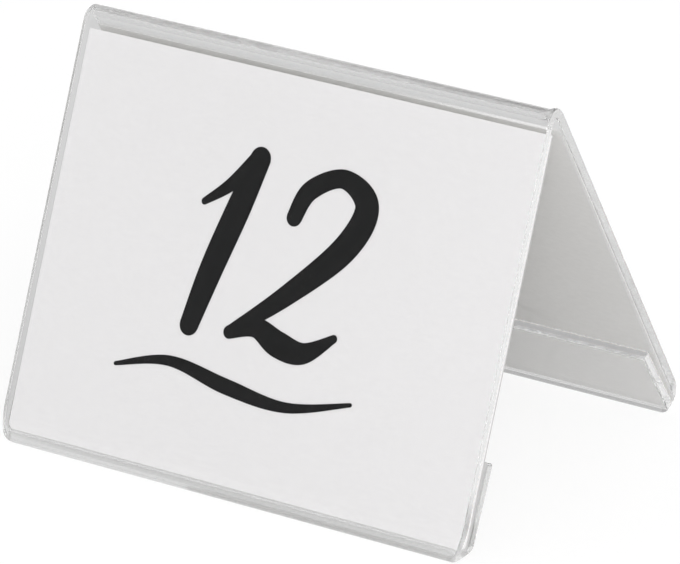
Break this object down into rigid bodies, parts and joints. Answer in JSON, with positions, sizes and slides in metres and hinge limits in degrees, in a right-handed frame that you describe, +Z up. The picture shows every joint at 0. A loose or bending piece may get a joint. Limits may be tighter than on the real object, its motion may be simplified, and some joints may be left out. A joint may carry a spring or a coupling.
{
  "type": "table sign holder",
  "caption": "Clear tent-shaped table sign holder bent from acrylic sheet, with inward-folded foot pockets along both legs that hold removable cards.",
  "frame": {"origin": "centre of the footprint, on the surface that the holder stands on, straight under the ridge", "axes": "+X along the ridge, +Y from the front leg to the rear leg, +Z up"},
  "size_m": [0.105, 0.075, 0.0765],
  "materials": {
    "acrylic": "gloss",
    "card": "matte"
  },
  "bodies": {
    "holder": {"holder": "acrylic"},
    "front_card": {"front_card": "card"},
    "rear_card": {"rear_card": "card"}
  },
  "joints": [
    {"name": "front_card_slide", "type": "slide", "parent": "holder", "child": "front_card", "axis": [1, 0, 0], "range_m": [-0.11, 0.11]},
    {"name": "rear_card_slide", "type": "slide", "parent": "holder", "child": "rear_card", "axis": [1, 0, 0], "range_m": [-0.11, 0.11]}
  ]
}
